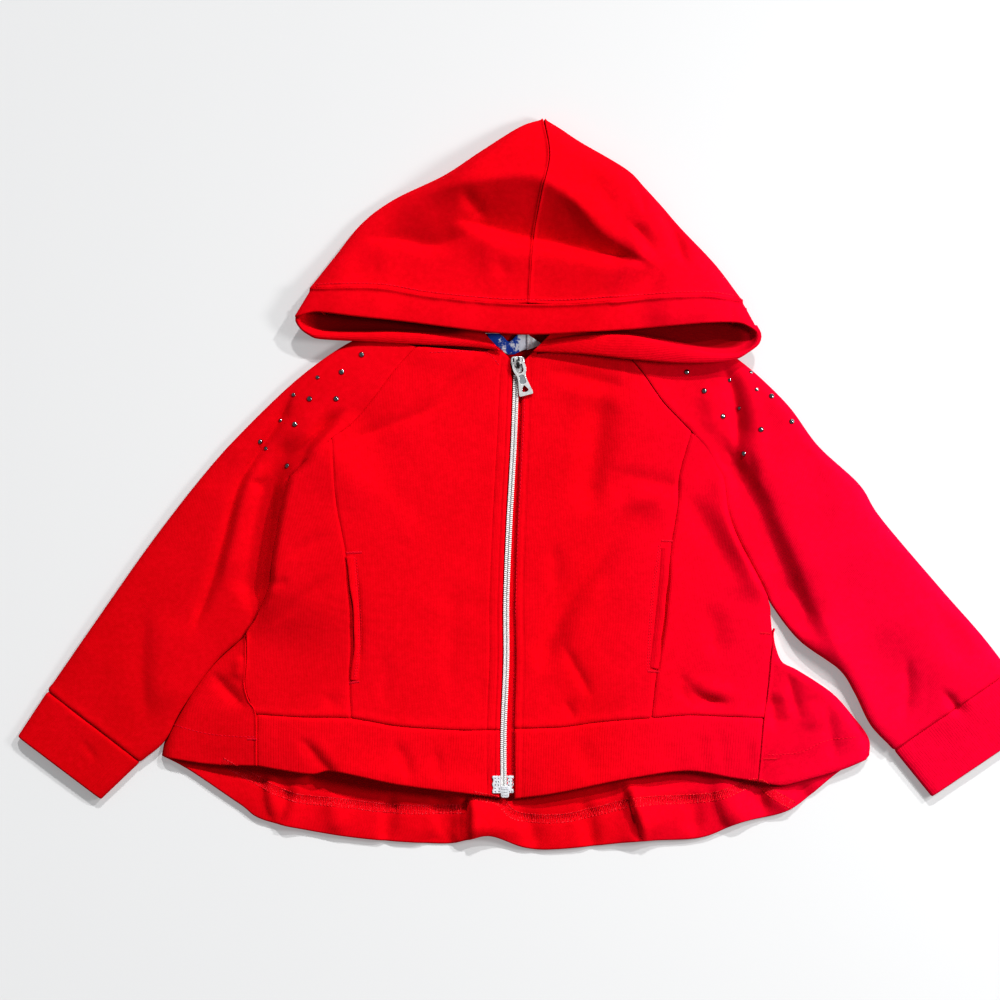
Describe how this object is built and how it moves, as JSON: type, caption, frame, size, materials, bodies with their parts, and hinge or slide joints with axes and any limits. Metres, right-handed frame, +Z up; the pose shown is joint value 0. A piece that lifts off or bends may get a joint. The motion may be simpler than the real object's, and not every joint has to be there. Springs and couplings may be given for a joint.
{
  "type": "hooded zip jacket",
  "caption": "Toddler's hooded sweatshirt jacket laid flat, front up: raglan sleeves, zip front with a swinging pull tab, flared longer back, domed studs on the shoulders.",
  "frame": {"origin": "centre of the jacket's outline, on the surface it lies on", "axes": "+X across the jacket to the right as seen from above, +Y from the hem to the hood, +Z up"},
  "size_m": [0.7593, 0.5462, 0.0192],
  "materials": {
    "red_cloth": "matt sweatshirt knit",
    "red_rib": "matt fine rib knit",
    "zip_tape": "woven tape",
    "zip_metal": "bright nickel",
    "stud_metal": "polished gunmetal",
    "zip_film": "pressed film with small dents",
    "label_print": "printed satin ribbon",
    "tab_cloth": "woven ribbon"
  },
  "bodies": {
    "garment": {"back": "red_cloth", "cuff_left": "red_rib", "cuff_right": "red_rib", "front_left": "red_cloth", "front_right": "red_cloth", "hem_band_left": "red_rib", "hem_band_right": "red_rib", "hood_band": "red_cloth", "hood_left": "red_cloth", "hood_lip_left": "red_cloth", "hood_lip_right": "red_cloth", "hood_right": "red_cloth", "neck_label": "label_print", "peplum": "red_cloth", "pocket_welt_left": "red_cloth", "pocket_welt_right": "red_cloth", "side_front_left": "red_cloth", "side_front_right": "red_cloth", "size_tab": "tab_cloth", "sleeve_left": "red_cloth", "sleeve_right": "red_cloth", "stud_left_01": "stud_metal", "stud_left_02": "stud_metal", "stud_left_03": "stud_metal", "stud_left_04": "stud_metal", "stud_left_05": "stud_metal", "stud_left_06": "stud_metal", "stud_left_07": "stud_metal", "stud_left_08": "stud_metal", "stud_left_09": "stud_metal", "stud_left_10": "stud_metal", "stud_left_11": "stud_metal", "stud_right_01": "stud_metal", "stud_right_02": "stud_metal", "stud_right_03": "stud_metal", "stud_right_04": "stud_metal", "stud_right_05": "stud_metal", "stud_right_06": "stud_metal", "stud_right_07": "stud_metal", "stud_right_08": "stud_metal", "stud_right_09": "stud_metal", "stud_right_10": "stud_metal", "stud_right_11": "stud_metal", "zip_box": "zip_metal", "zip_chain": "zip_metal", "zip_film_left": "zip_film", "zip_film_right": "zip_film", "zip_slider": "zip_metal", "zip_tape_left": "zip_tape", "zip_tape_right": "zip_tape"},
    "pull_tab": {"pull_tab": "zip_metal"}
  },
  "joints": [
    {"name": "pull_tab_hinge", "type": "hinge", "parent": "garment", "child": "pull_tab", "pos_m": [-0.0052, 0.0901, 0.01106], "axis": [-0.9659, -0.2588, 0], "range_deg": [0, 150]}
  ]
}
